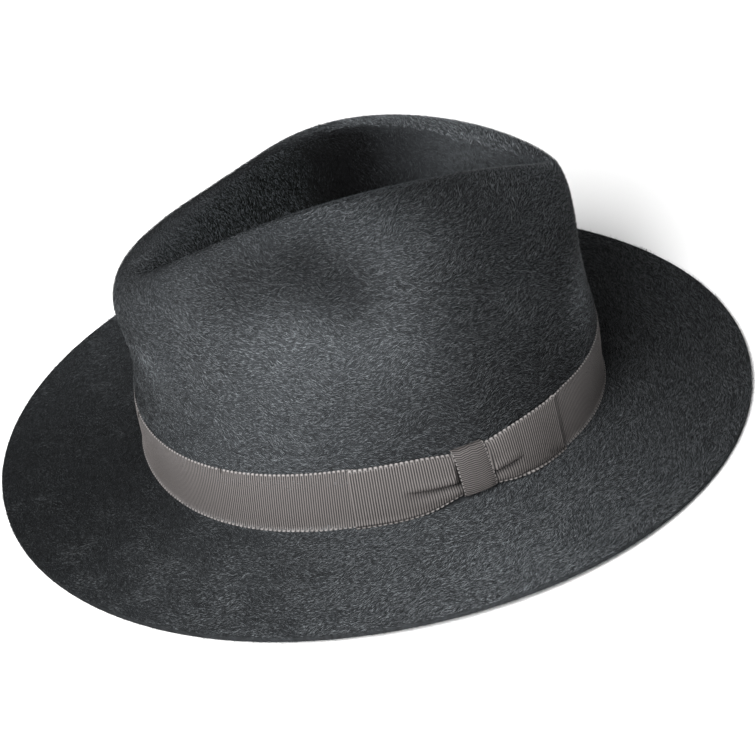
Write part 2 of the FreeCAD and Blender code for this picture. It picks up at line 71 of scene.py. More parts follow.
back = Vector((math.sin(AZIMUTH) * math.cos(ELEVATION),
               -math.cos(AZIMUTH) * math.cos(ELEVATION), math.sin(ELEVATION)))
level = Vector((0, 0, 1)).cross(back).normalized()
upright = back.cross(level)
right = level * math.cos(ROLL) + upright * math.sin(ROLL)
up = upright * math.cos(ROLL) - level * math.sin(ROLL)
aim = Vector((0, 0, CROWN_FOOT)) + right * AIM_RIGHT * MM + up * AIM_UP * MM

camera_data = bpy.data.cameras.new("camera")
camera_data.lens = LENS
camera_data.sensor_width = SENSOR
camera = bpy.data.objects.new("camera", camera_data)
bpy.context.collection.objects.link(camera)
turn = camera.matrix_world.to_3x3()
for row in range(3):
    turn[row] = (right[row], up[row], back[row])
camera.matrix_world = turn.to_4x4()
camera.location = aim + back * DISTANCE
bpy.context.scene.camera = camera
print("camera at", [round(c, 3) for c in camera.location])

# %% [markdown]
# ## The studio
# The hat stands on a pale sweep. Charcoal felt swallows light, so the lamps are bright and large:
# one wide key before the camera's side, which rakes over the crown, a weak one behind it, a weak
# and wide one high on the far side, and a dim white sky. Large lamps make the shadows soft.

# %% Sky and lamps
LAMPS_AIM = 0.05


def lamp(name, azimuth, elevation, distance, width, power):
    """A square soft box that looks at the crown."""
    data = bpy.data.lights.new(name, "AREA")
    data.size = width
    data.energy = power
    place = Vector((math.sin(math.radians(azimuth)) * math.cos(math.radians(elevation)),
                    -math.cos(math.radians(azimuth)) * math.cos(math.radians(elevation)),
                    math.sin(math.radians(elevation)))) * distance
    piece = bpy.data.objects.new(name, data)
    piece.location = place + Vector((0, 0, LAMPS_AIM))
    piece.rotation_euler = (-place).to_track_quat("-Z", "Y").to_euler()
    bpy.context.collection.objects.link(piece)


lamp("key_light", 48, 40, 1.5, 0.9, 70)
lamp("side_light", 100, 25, 1.6, 0.8, 5)
lamp("top_light", 250, 60, 1.8, 1.6, 9)

world = bpy.data.worlds.new("sky")
world.use_nodes = True
world.node_tree.nodes["Background"].inputs["Color"].default_value = (1, 1, 1, 1)
world.node_tree.nodes["Background"].inputs["Strength"].default_value = 0.22
bpy.context.scene.world = world
bpy.context.scene.view_settings.view_transform = "Standard"

# %% [markdown]
# ## Writing materials as sums
# A material in Blender is a graph of nodes. Wrapping a socket in a small class lets the graph be
# written as a Python sum, so that 1 - mask makes the Subtract node it stands for.

# %% A socket that does sums
class Value:
    """A node's output, with the sums that the finishes use."""

    def __init__(self, finish, socket):
        self.finish = finish
        self.socket = socket

    def sum(self, operation, *values):
        return self.finish.node("Math", {"operation": operation}, dict(enumerate(values)))

    def alone(self, operation):
        return self.sum(operation, self)

    def __add__(self, other):
        return self.sum("ADD", self, other)

    def __radd__(self, other):
        return self.sum("ADD", other, self)

    def __sub__(self, other):
        return self.sum("SUBTRACT", self, other)

    def __rsub__(self, other):
        return self.sum("SUBTRACT", other, self)

    def __mul__(self, other):
        return self.sum("MULTIPLY", self, other)

    def __rmul__(self, other):
        return self.sum("MULTIPLY", other, self)

    def __truediv__(self, other):
        return self.sum("DIVIDE", self, other)

    def __pow__(self, other):
        return self.sum("POWER", self, other)


class Finish:
    """A material whose nodes are made as its sums are written."""

    def __init__(self, name, roughness, **constants):
        self.material = bpy.data.materials.new(name)
        self.material.use_nodes = True
        self.nodes = self.material.node_tree.nodes
        self.links = self.material.node_tree.links
        self.shader = self.nodes["Principled BSDF"]
        self.shader.inputs["Roughness"].default_value = roughness
        for socket, value in constants.items():
            self.shader.inputs[socket.replace("_", " ")].default_value = value

    def feed(self, socket, value):
        if isinstance(value, Value):
            self.links.new(value.socket, socket)
        else:
            socket.default_value = value

    def node(self, kind, settings=None, inputs=None, output=0):
        """Any shader node: its settings are set before its sockets."""
        made = self.nodes.new("ShaderNode" + kind)
        for name, value in (settings or {}).items():
            setattr(made, name, value)
        for name, value in (inputs or {}).items():
            self.feed(made.inputs[name], value)
        return Value(self, made.outputs[output])

    def place(self):
        """Where a point lies in the hat, in metres."""
        return self.node("TexCoord", output="Object")

    def parts(self, vector):
        """The x, y and z of a vector, each as a value."""
        split = self.nodes.new("ShaderNodeSeparateXYZ")
        self.links.new(vector.socket, split.inputs[0])
        return [Value(self, socket) for socket in split.outputs]

    def along(self):
        """How far along and across its strip a point lies, in metres."""
        return self.parts(self.node("UVMap", {"uv_map": "strip"}))[:2]

    def stroke(self, azimuth, low, high):
        """A painted sheen by place round the hat: high at an azimuth and opposite it, low between.
        """
        x, y, _ = self.parts(self.place())
        turn = math.radians(azimuth)
        ahead = x * math.sin(turn) - y * math.cos(turn)
        share = ahead * ahead / (x * x + y * y + TINY)
        return low + share * (high - low)

    def spot(self, centre, radius):
        """One at a place on the hat, fading to nothing at a radius from it."""
        away = self.node("VectorMath", {"operation": "DISTANCE"},
                         {0: self.place(), 1: [part * MM for part in centre]}, output=1)
        return self.node("MapRange", {"interpolation_type": "SMOOTHSTEP"},
                         {0: away, 1: 0.0, 2: radius, 3: 1.0, 4: 0.0})

    def nap_painted_light(self):
        """The nap's painted sheen and painted shade, by its place on the hat: sides and uneven
        spots.

        They are painted into the colour, not lit, so they stay where they are under other lamps."""
        height = self.parts(self.place())[2]
        on_side = self.spread(height, CROWN_FOOT + SIDE_STARTS, CROWN_FOOT + SIDE_FULL)
        brim = self.stroke(*BRIM_PAINTED_SHEEN)
        light = brim + on_side * (self.stroke(*CROWN_PAINTED_SHEEN) - brim)
        for centre, radius, gain in PAINTED_LIGHT_SPOTS:
            light = light * (1 + gain * self.spot(centre, radius * MM))
        return light

    def turned_in(self, height):
        """Where the surface above a height faces the middle of the hat, as in the dent: where shade
        is painted.
        """
        x, y, z = self.parts(self.place())
        normal_x, normal_y, _ = self.parts(self.node("NewGeometry", output=1))
        slope = (x * normal_x + y * normal_y) / (x * x + y * y + TINY) ** 0.5
        ahead = self.spread(0 - y, *DENT_AHEAD)
        inward = self.spread(0 - slope, *DENT_SLOPE)
        return ahead * inward * self.spread(z, height, height + DENT_FADE)

    def noise(self, grain, detail=3.0):
        """Cloudy noise with patches about one grain wide, in metres."""
        return self.node("TexNoise", None, {"Vector": self.place(), "Scale": 1 / grain,
                                            "Detail": detail})

    def scaled(self, colour, gain):
        """A colour made brighter or darker."""
        return self.node("VectorMath", {"operation": "SCALE"}, {0: colour, "Scale": gain})

    def mix(self, share, first, second):
        """A colour between two others."""
        made = self.nodes.new("ShaderNodeMix")
        made.data_type = "RGBA"
        self.feed(made.inputs[0], share)
        for socket, colour in zip((made.inputs[6], made.inputs[7]), (first, second)):
            if isinstance(colour, Value):
                self.links.new(colour.socket, socket)
            else:
                socket.default_value = (*colour, 1)
        return Value(self, made.outputs[2])

    def spread(self, value, low, high):
        """A value stretched from low..high to 0..1 and kept there."""
        return self.node("MapRange", {"clamp": True},
                         {0: value, 1: low, 2: high, 3: 0.0, 4: 1.0})

    def set(self, socket, value):
        self.feed(self.shader.inputs[socket], value)

    def bump(self, height, depth):
        """Small relief: depth is in metres."""
        self.set("Normal", self.node("Bump", None, {"Height": height, "Distance": depth,
                                                    "Strength": 1.0}))


TINY = 1e-6
# Azimuth in degrees where the nap's painted sheen is brightest, as opposite it, and its least and
# most.
BRIM_PAINTED_SHEEN = (88, 0.32, 1.05)
CROWN_PAINTED_SHEEN = (47, 0.34, 1.15)
# Heights over the crown's foot between which the brim's painted sheen gives way to the crown's.
SIDE_STARTS, SIDE_FULL = 4 * MM, 14 * MM
# The dent's painted shade: where it fades in, towards the front, by slope and by height.
DENT_AHEAD = (-58 * MM, -18 * MM)
DENT_SLOPE = (-0.15, 0.30)
DENT_LOW, DENT_FADE = 95 * MM, 12 * MM
DENT_PAINTED_SHADE = (0.002, 0.0021, 0.0022)
# Spots of painted light and painted shade on the nap: centre in millimetres, radius, and how
# much paler or darker.
PAINTED_LIGHT_SPOTS = (((41, -30, 115), 32, -0.66), ((56, -14, 106), 24, -0.45), ((34, -56, 110), 28, -0.50),
             ((-7, 60, 111), 34, 0.8), ((50, 15, 113), 34, 0.55), ((70, -2, 84), 34, 0.50),
             ((64, 60, 82), 28, 0.30), ((60, -42, 84), 34, 0.25), ((36, 91, 62), 28, 1.3),
             ((25, -98, 70), 22, 0.6), ((48, 82, 55), 30, 0.7),
             ((70, -112, 4), 60, 0.25), ((140, 21, 5), 46, 0.20))

floor_finish = Finish("pale_floor", 0.9)
floor_finish.set("Base Color", (0.80, 0.80, 0.80, 1))
print("materials can be written")

# %% The floor
FLOOR_RADIUS, FLOOR_GAP = 6.0, 0.3 * MM
floor_mesh = bmesh.new()
bmesh.ops.create_circle(floor_mesh, cap_ends=True, radius=FLOOR_RADIUS, segments=64)
floor_data = bpy.data.meshes.new("floor")
floor_mesh.to_mesh(floor_data)
floor_mesh.free()
floor_data.materials.append(floor_finish.material)
floor = bpy.data.objects.new("floor", floor_data)
floor.location.z = -FLOOR_GAP
bpy.context.collection.objects.link(floor)

# %% [markdown]
# ## The felt
# Hat felt is a mat of wool or fur fibres, blocked over a wooden form. The solid has that form, so
# it stays, and its finish gives it the mottled charcoal of a dyed felt, with painted sheen and
# painted shade. The brushed nap on top is made of real fibres further down, because nothing
# painted on a surface gives a fuzzy outline.

# %% The felt's finish
felt = Finish("felt_cloth", 1.0, Specular_IOR_Level=0.05)
mottle = felt.spread(felt.noise(2.2 * MM, 4.0), 0.3, 0.7)
cloud = felt.spread(felt.noise(24 * MM, 2.0), 0.35, 0.65)
felt_colour = felt.mix(mottle, (0.010, 0.0105, 0.011), (0.026, 0.028, 0.030))
felt_colour = felt.mix(cloud * 0.35, felt_colour, (0.018, 0.020, 0.022))
# Painted sheen and painted shade of the nap, by place on the hat.
felt_colour = felt.scaled(felt_colour, felt.nap_painted_light())
# Painted shade on the walls of the dent that face the middle.
felt.set("Base Color", felt.mix(felt.turned_in(DENT_LOW), felt_colour, DENT_PAINTED_SHADE))
felt.bump(felt.noise(0.7 * MM, 3.0), 0.25 * MM)
nodes["felt_body"].data.materials.clear()
nodes["felt_body"].data.materials.append(felt.material)

# %% [markdown]
# ## Following the crown
# The ribbon is wrapped round the crown, so its places come from the felt itself: a ray is shot
# level at the crown from just outside, at many angles and heights, and the hits are kept in a
# table. Reading the table with a smooth curve between its entries hides the solid's flat facets.
# A Shrinkwrap modifier could do the same, but it would flatten the ribs woven into the ribbon.

# %% The crown's outside
FOOT_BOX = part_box("hatband_ribbon")
RIBBON_TOP = FOOT_BOX[1][2]
foot_half = [(high - low) / 2 for low, high in zip(*FOOT_BOX)]
ANGLE_STEP, HEIGHT_STEP = 3.0, 2.5 * MM
HEIGHT_ROWS = 16
RAY_START = 1.12
felt_mesh = nodes["felt_body"].data
felt_tree = BVHTree.FromPolygons([v.co for v in felt_mesh.vertices],
                                 [f.vertices for f in felt_mesh.polygons])


def level_direction(angle):
    """From the middle of the hat outwards: 0 degrees is the front, 90 the wearer's left."""
    turn = math.radians(angle)
    return Vector((foot_half[0] * math.sin(turn), -foot_half[1] * math.cos(turn), 0))


def crown_reach(angle, height):
    """How far out the crown lies, as a share of the ribbon's oval."""
    way = level_direction(angle)
    start = way * RAY_START + Vector((0, 0, CROWN_FOOT + height))
    hit = felt_tree.ray_cast(start, -way.normalized())[0]
    return Vector((hit.x, hit.y)).length / way.length


def between_four(values, share):
    """A smooth curve through the middle two of four values."""
    a, b, c, d = values
    return b + 0.5 * share * (c - a + share * (2 * a - 5 * b + 4 * c - d
                                               + share * (3 * (b - c) + d - a)))


reaches = [[crown_reach(ANGLE_STEP * k, HEIGHT_STEP * (row - 0.5))
            for k in range(round(360 / ANGLE_STEP))] for row in range(HEIGHT_ROWS)]


def on_crown(angle, height, proud):
    """A place on the crown at a height over its foot, standing proud of the felt."""
    across = angle / ANGLE_STEP
    first = math.floor(across)
    climb = min(max(height / HEIGHT_STEP + 0.5, 1.0), HEIGHT_ROWS - 2.001)
    floor_row = math.floor(climb)
    lines = []
    for row in range(floor_row - 1, floor_row + 3):
        line = reaches[row]
        lines.append(between_four([line[(first + k) % len(line)] for k in (-1, 0, 1, 2)],
                                  across - first))
    reach = between_four(lines, climb - floor_row)
    way = level_direction(angle)
    return way * reach + way.normalized() * proud + Vector((0, 0, CROWN_FOOT + height))


print("the crown's foot is", round(2 * on_crown(90, 1 * MM, 0).x, 4), "m wide")

# %% [markdown]
# ## The ribbon
# The band is a grosgrain: thick cords lie across it under fine silk, which makes its ribs, and the
# silk turns back round the outermost threads as a row of beads along each edge. Each rib is real
# relief here, six columns of a grid, because at this size ribs show in the ribbon's outline too.
# A bump could draw them, but the beads along the edges would be lost.

# %% Weaving a ribbon
RIB = 0.95 * MM
RIBBON_WIDTH = 27 * MM
THICK = 0.62 * MM
COLUMNS_PER_RIB = 6
RELIEF, EDGE_RELIEF = 0.18 * MM, 0.3
KNOT_ANGLE = 101.0
GATHER_DEPTH, GATHER_SPREAD = 4.2 * MM, 10.0
PER_DEGREE = math.radians(87.4 * MM)
# Each row near an edge: how far in from the edge, how thick, and how much it is beaded.
EDGE_ROWS = ((0.10 * MM, 0.15, 0.0), (-0.10 * MM, 0.55, 1.0), (0.12 * MM, 1.0, 1.0),
             (0.45 * MM, 1.05, 1.0), (0.75 * MM, 0.9, 0.0))
BEAD = 0.28 * MM


def gather(angle):
    """How far the knot draws in both edges of the ribbon."""
    return GATHER_DEPTH * math.exp(-((angle - KNOT_ANGLE) / GATHER_SPREAD) ** 2)


def ribbon_row(row, rows):
    """For a row of the grid: its share of the width, its inset, thickness and beading."""
    last = len(EDGE_ROWS) - 1
    if row <= last:
        return (0.0, *EDGE_ROWS[row])
    if row >= rows - last:
        inset, thick, bead = EDGE_ROWS[rows - row]
        return 1.0, -inset, thick, bead
    return (row - last) / (rows - 2 * last), 0.0, 1.0, 0.0


def rib_height(along, ripple=0.0):
    """The rounded rib at a place along a ribbon: 0 in a valley, 1 on a crest."""
    return abs(math.sin(math.pi * (along + ripple) / RIB)) ** 0.8


def bead_height(along):
    """The silk turns back round every second rib, which makes a bead two ribs long."""
    return abs(math.sin(math.pi * along / (2 * RIB))) ** 0.7


def woven(name, length, place, rows=20, shade=None):
    """A ribbon piece: place(along, share, inset, proud) says where its points lie, and
    shade(along, share) how much shade is painted on them, where the ribbon has creases."""
    columns = round(length / RIB) * COLUMNS_PER_RIB
    mesh = bmesh.new()
    bmesh.ops.create_grid(mesh, x_segments=columns, y_segments=rows, size=1.0)
    strip = mesh.loops.layers.uv.new("strip")
    # The fold layer holds each point's painted shade.
    fold = mesh.verts.layers.float.new("fold")
    spots = {}
    for vertex in mesh.verts:
        along = (vertex.co.x + 1) / 2 * length
        row = round((vertex.co.y + 1) / 2 * rows)
        share, inset, thick, bead = ribbon_row(row, rows)
        rib = rib_height(along)
        outward = 1 if share < 0.5 else -1
        inset -= outward * bead * BEAD * bead_height(along)
        proud = THICK * thick - RELIEF * (1 - rib) * (EDGE_RELIEF if bead else 1.0)
        spots[vertex] = (along, share * RIBBON_WIDTH + inset)
        vertex.co = place(along, share, inset, proud)
        vertex[fold] = shade(along, share) if shade else 0.0
    lay_strip(mesh, strip, spots)
    return finished(name, mesh, grosgrain_finish)


def lay_strip(mesh, strip, spots):
    """Smooth faces, each of whose corners knows its lengths along and across the ribbon."""
    for face in mesh.faces:
        face.smooth = True
        for loop in face.loops:
            loop[strip].uv = spots[loop.vert]


def finished(name, mesh, finish):
    """A bmesh made into a piece that rides on the hat."""
    bmesh.ops.recalc_face_normals(mesh, faces=mesh.faces)
    data = bpy.data.meshes.new(name)
    mesh.to_mesh(data)
    area = sum(face.calc_area() for face in mesh.faces)
    mesh.free()
    piece = bpy.data.objects.new(name, data)
    bpy.context.collection.objects.link(piece)
    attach(piece, "root")
    data.materials.append(finish.material)
    print(name, len(data.polygons), "faces,", round(area * 1e4, 1), "cm2")
    return piece


# %% [markdown]
# The ribbon's finish leaves the crests of its ribs their colour and paints shade into the valleys
# and between the beads. The fine silk runs along the ribbon, over the ribs, and is a shade paler in
# the beads at its edges.

# %% The ribbon's finish
def grosgrain(name):
    """A ribbon finish that follows the strip's own lengths."""
    finish = Finish(name, 0.6, Specular_IOR_Level=0.3)
    along, across = finish.along()
    crest = finish.spread((along * (math.pi / RIB)).alone("SINE").alone("ABSOLUTE"), 0.42, 1.0)
    edge = (across - RIBBON_WIDTH / 2).alone("ABSOLUTE")
    bead = finish.spread(edge, RIBBON_WIDTH / 2 - 0.8 * MM, RIBBON_WIDTH / 2 - 0.3 * MM)
    silk = finish.noise(0.25 * MM, 2.0)
    cloud = finish.noise(9 * MM, 2.0)
    beaded = finish.spread((along * (math.pi / 2 / RIB)).alone("SINE").alone("ABSOLUTE"), 0.3, 0.9)
    # Painted shade: the valleys between the ribs are almost black.
    colour = finish.mix(crest, (0.0015, 0.0014, 0.0013), (0.117, 0.106, 0.103))
    # The beads are paler, with painted shade in the gaps between them.
    edging = finish.mix(beaded, (0.012, 0.011, 0.011), (0.19, 0.178, 0.174))
    colour = finish.mix(bead, colour, edging)
    colour = finish.mix(finish.spread(silk, 0.35, 0.75) * 0.25, colour, (0.05, 0.046, 0.045))
    colour = finish.mix(finish.spread(cloud, 0.3, 0.7) * 0.15, colour, (0.06, 0.056, 0.054))
    # Painted shade, read from each piece's fold layer: in the bow's creases and on the knot.
    fold = finish.node("Attribute", {"attribute_name": "fold"}, output=2)
    finish.set("Base Color", finish.mix(fold, colour, (0.0035, 0.003, 0.003)))
    finish.bump(silk, 0.05 * MM)
    return finish


grosgrain_finish = grosgrain("grosgrain")

# %% [markdown]
# ## The band round the crown
# A hatter draws the ribbon tight round the crown's foot, so it follows the oval and leans with the
# crown. Its two ends meet behind the bow, where the knot gathers them. Behind the bow its top edge
# is drawn down a little, which a sewn band's is not, so that it doesn't show above the folds.

# %% The band
MEASURED_AT = 14 * MM
STATIONS = 120
AIR = 0.05 * MM
# How far the top edge is drawn down behind the bow, and how many degrees to each side.
UNDER_BOW, UNDER_BOW_SPREAD = 3.4 * MM, 27


def band_length():
    """Round the crown, over the felt, at about the middle of the ribbon."""
    stations = [on_crown(360 / STATIONS * k, MEASURED_AT, THICK) for k in range(STATIONS + 1)]
    return sum((b - a).length for a, b in zip(stations, stations[1:]))


BAND_LENGTH = band_length()
BAND_END = KNOT_ANGLE + 360


def band_place(along, share, inset, proud):
    angle = KNOT_ANGLE + 360 * along / BAND_LENGTH
    drawn = gather(min(angle, KNOT_ANGLE + BAND_END - angle))
    from_knot = min(angle - KNOT_ANGLE, BAND_END - angle)
    lowered = UNDER_BOW * math.exp(-(from_knot / UNDER_BOW_SPREAD) ** 10)
    height = RIBBON_START + drawn + share * (RIBBON_WIDTH - 2 * drawn - lowered) + inset
    return on_crown(angle, height, proud + AIR)


band = woven("ribbon_band", BAND_LENGTH, band_place)
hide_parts("hatband_ribbon")

# %% [markdown]
# ## The bow
# A fedora's bow is flat: the ribbon is laid out to a fold, brought back over itself and nipped in
# by the knot, so that each loop has a crease that starts at the knot and dies out. Cloth could be
# simulated here, but a tailored bow is pressed and stitched, so its few creases are placed one by
# one.

# %% The loops
LEAF_GAP = 0.65 * MM
KNOT_COVER = 5.8 * MM
BACK_LEAF = 0.95 * MM
FRONT_LEAF = BACK_LEAF + LEAF_GAP
BULGE = 1.5 * MM
FOLD_LEAN = 0.6 * MM
LIFT_AT_KNOT = 0.6 * MM
# Near the knot the front leaf stays under a slope, so that it doesn't break through.
CAP_AT_KNOT, CAP_SLOPE, LEAST_LEVEL = 2.4 * MM, 1.2, 1.4 * MM
LEAST_PROUD = 0.1 * MM
BACK_NARROWED = 3 * MM
# The crease's section across the leaf, in half widths: its two sides, the lip over it, the belly
# under it and the part that balloons above.
NARROW_SIDE, WIDE_SIDE = 0.07, 0.32
LIP, LIP_AWAY, LIP_WIDTH = 0.45, 0.24, 0.19
BELLY, BELLY_AWAY, BELLY_WIDTH = 0.22, 0.42, 0.22
BALLOON, BALLOON_START = 0.9, 0.08
# Painted shade: in the crease's pocket, beside the knot, and the most of both.
POCKET_SHADE, POCKET_AWAY, POCKET_WIDTH = 0.85, 0.10, 0.11
KNOT_SHADE, KNOT_SHADE_WIDTH = 0.45, 1.5 * MM
MOST_SHADE = 0.92


def crease(share, across, start, end, fade, depth):
    """How far a crease draws the leaf in: it overhangs on its upper side."""
    middle = start + (end - start) * share / fade
    strength = max(0.0, 1 - share / fade) ** 0.8
    away = across - middle
    over = min(max(away / BALLOON_START, 0.0), 1.0)
    balloon = BALLOON * over * max(1 - across ** 2, 0.0) ** 0.5
    side = NARROW_SIDE if away > 0 else WIDE_SIDE
    lip = LIP * math.exp(-((away - LIP_AWAY) / LIP_WIDTH) ** 2)
    belly = BELLY * math.exp(-((away + BELLY_AWAY) / BELLY_WIDTH) ** 2)
    return depth * strength * (math.exp(-(away / side) ** 2) - lip - belly - balloon)


def loop_place(fold_angle, marks):
    """A loop's places, from the knot along its back leaf, round its fold and back; its painted
    shade; and its length. The back leaf is narrowed at its top, to stay hidden by the front one."""
    way = 1 if fold_angle > KNOT_ANGLE else -1
    span = abs(fold_angle - KNOT_ANGLE) * PER_DEGREE
    turn = LEAF_GAP / 2
    bend = math.pi * turn

    def place(along, share, inset, proud):
        # A gentle lean of the fold keeps it from looking ruled.
        lean = FOLD_LEAN * (share - 0.5)
        if along < span:
            out, level, swing = along, BACK_LEAF, math.pi
        elif along < span + bend:
            swing = math.pi - (along - span) / turn
            out, level = span, BACK_LEAF + turn
        else:
            out, level, swing = 2 * span + bend - along, FRONT_LEAF, 0.0
            ratio = min(max(out / span, 0.0), 1.0)
            across = 2 * share - 1
            level += BULGE * math.sin(math.pi * ratio) ** 1.5 * (1 - 0.35 * across ** 2)
            level += LIFT_AT_KNOT * (1 - ratio) ** 1.5 * (1 - across ** 4)
            level -= crease(ratio, across, *marks)
            cap = CAP_AT_KNOT + CAP_SLOPE * max(out - KNOT_COVER, 0.0)
            level = max(min(level, cap), LEAST_LEVEL)
        stands = level + (proud - THICK / 2) * math.cos(swing)
        reach = out + math.sin(swing) * (turn + proud - THICK / 2) + lean * (out / span)
        if span <= along <= span + bend:
            stands = level + math.cos(swing) * (turn + proud - THICK / 2)
        angle = KNOT_ANGLE + way * reach / PER_DEGREE
        drawn = gather(angle)
        hidden = BACK_NARROWED * (1 - (out / span) ** 4) if along < span else 0.0
        height = RIBBON_START + drawn + share * (RIBBON_WIDTH - 2 * drawn - hidden) + inset
        return on_crown(angle, height, max(stands, LEAST_PROUD))

    def shade(along, share):
        """How much shade is painted on the leaf, by place: in the crease's pocket and beside the
        knot.
        """
        if along < span + bend:
            return 0.0
        start, end, fade, _ = marks
        out = 2 * span + bend - along
        ratio = out / span
        away = 2 * share - 1 - (start + (end - start) * ratio / fade)
        pocket = math.exp(-((away + POCKET_AWAY) / POCKET_WIDTH) ** 2)
        pocket *= max(0.0, 1 - ratio / fade) ** 0.6
        beside = KNOT_SHADE * math.exp(-((out - KNOT_COVER) / KNOT_SHADE_WIDTH) ** 2)
        return min(POCKET_SHADE * pocket + beside, MOST_SHADE)

    return place, shade, 2 * span + bend


for name, node, fold_angle, marks in (
        ("bow_loop_front", "bow_front_loop", 71.5, (-0.36, -0.10, 0.60, 2.6 * MM)),
        ("bow_loop_rear", "bow_rear_loop", 127.0, (-0.44, -0.28, 0.50, 2.9 * MM))):
    place, shade, length = loop_place(fold_angle, marks)
    loop = woven(name, length, place, rows=46, shade=shade)
    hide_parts(node)

# %% [markdown]
# The knot is a short length of the same ribbon, folded narrow and wrapped over the middle of the
# bow from top to bottom. Its ribs lie level and wander a little where the thread pulls them.

# %% The knot
KNOT_WIDTH = 12.3 * MM
KNOT_TOP, KNOT_FOOT = 24.6 * MM, 4.2 * MM
KNOT_PROUD = 4.4 * MM
KNOT_LEAN, KNOT_TURN = 1.0, 0.2
KNOT_WRAP, KNOT_SWELL = 4.2 * MM, 0.72 * MM
KNOT_TUCKED = 0.92
KNOT_END_FALL, KNOT_SIDE_FALL = 0.8 * MM, 0.6 * MM
KNOT_LEAST = 0.2 * MM
KNOT_COLUMNS = 24
KNOT_RELIEF = 0.26 * MM
KNOT_BEADS, KNOT_EDGE = 0.04, 0.9
# Painted shade: all over, towards the two ends from a share of the way, and at the sides.
SHADE_ALL, SHADE_ENDS, SHADE_ENDS_FROM, SHADE_SIDES = 0.14, 0.25, 0.6, 0.12
# The ribs' wander: how far, and how many turns across the knot and down it.
WANDER, WANDER_ACROSS, WANDER_DOWN = 0.22 * MM, 5, 260
TREMBLE, TREMBLE_ACROSS = 0.12 * MM, 13


def knot_place(along, length, side):
    """A point of the knot: along from its top, and side from -1, the front, to 1."""
    if along < KNOT_WRAP:
        share, tuck = 0.0, 1 - along / KNOT_WRAP
    elif along > length - KNOT_WRAP:
        share, tuck = 1.0, 1 - (length - along) / KNOT_WRAP
    else:
        share, tuck = (along - KNOT_WRAP) / (length - 2 * KNOT_WRAP), 0.0
    swell = KNOT_SWELL * math.sin(tuck * math.pi)
    height = KNOT_TOP + (KNOT_FOOT - KNOT_TOP) * share + (swell if share == 0 else -swell)
    round_over = math.sin(tuck * math.pi / 2)
    proud = KNOT_PROUD * (1 - KNOT_TUCKED * round_over ** 2)
    proud -= KNOT_END_FALL * (2 * share - 1) ** 4
    proud -= KNOT_SIDE_FALL * min(abs(side), 1.0) ** 4
    lean = KNOT_TURN + KNOT_LEAN * (share - 0.5)
    angle = KNOT_ANGLE + lean + side * KNOT_WIDTH / 2 / PER_DEGREE
    return on_crown(angle, height, max(proud, KNOT_LEAST))


def knot_piece():
    """The knot, whose grid runs down the hat with its ribs across."""
    length = (KNOT_TOP - KNOT_FOOT) + 2 * KNOT_WRAP
    rows = round(length / RIB) * COLUMNS_PER_RIB
    outward = level_direction(KNOT_ANGLE).normalized()
    mesh = bmesh.new()
    bmesh.ops.create_grid(mesh, x_segments=rows, y_segments=KNOT_COLUMNS, size=1.0)
    strip = mesh.loops.layers.uv.new("strip")
    # The fold layer holds the knot's painted shade, all over and more at its ends and sides.
    fold = mesh.verts.layers.float.new("fold")
    spots = {}
    for vertex in mesh.verts:
        along = (vertex.co.x + 1) / 2 * length
        side = vertex.co.y
        down = abs(2 * along / length - 1)
        vertex[fold] = SHADE_ALL + SHADE_ENDS * max(down - SHADE_ENDS_FROM, 0.0)
        vertex[fold] += SHADE_SIDES * side ** 4
        ripple = WANDER * math.sin(side * WANDER_ACROSS + along * WANDER_DOWN)
        ripple += TREMBLE * math.sin(side * TREMBLE_ACROSS)
        rib = rib_height(along, ripple)
        beads = KNOT_BEADS * bead_height(along) * (abs(side) > KNOT_EDGE)
        place = knot_place(along, length, side * (1 + beads))
        spots[vertex] = (along + ripple, RIBBON_WIDTH / 2 * (1 + side) + 0.5 * MM * side)
        sunk = 0.0 if abs(side) == 1 else KNOT_RELIEF * (1 - rib)
        vertex.co = place - outward * sunk
    lay_strip(mesh, strip, spots)
    return finished("bow_knot_wrap", mesh, grosgrain_finish), length


knot, knot_length = knot_piece()
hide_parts("bow_knot")

# %% [markdown]
# ## Inside the crown
# The sweatband is a strip of leather turned up inside the crown and sewn along its lower edge over
# a fine reed. Above it hangs a satin lining with a piped seam. Their solids have the right shapes,
# so they stay, and each gets a finish with the grain, weave or thread that the real one shows.

# %% Finishes for leather, thread and satin
leather = Finish("sweatband_leather", 0.5, Specular_IOR_Level=0.4)
pores = leather.node("TexVoronoi", {"feature": "DISTANCE_TO_EDGE"},
                     {"Vector": leather.place(), "Scale": 1 / (0.9 * MM)})
hide_cloud = leather.spread(leather.noise(12 * MM), 0.3, 0.7)
hide = leather.mix(hide_cloud, (0.030, 0.017, 0.010), (0.060, 0.034, 0.020))
pore_edge = leather.spread(pores, 0.0, 0.12)
leather.set("Base Color", leather.mix(pore_edge, (0.016, 0.009, 0.006), hide))
leather.set("Roughness", 0.42 + 0.2 * hide_cloud)
leather.bump(leather.spread(pores, 0.0, 0.2), 0.12 * MM)


THREADS_ROUND, THREAD_PITCH, PUCKERS_ROUND = 1400, 0.4 * MM, 90
INNER_RADIUS = 0.09


def round_angle(finish):
    """The angle round the hat at a point, in radians, and its height."""
    x, y, z = finish.parts(finish.place())
    return x.sum("ARCTAN2", x, 0 - y), z


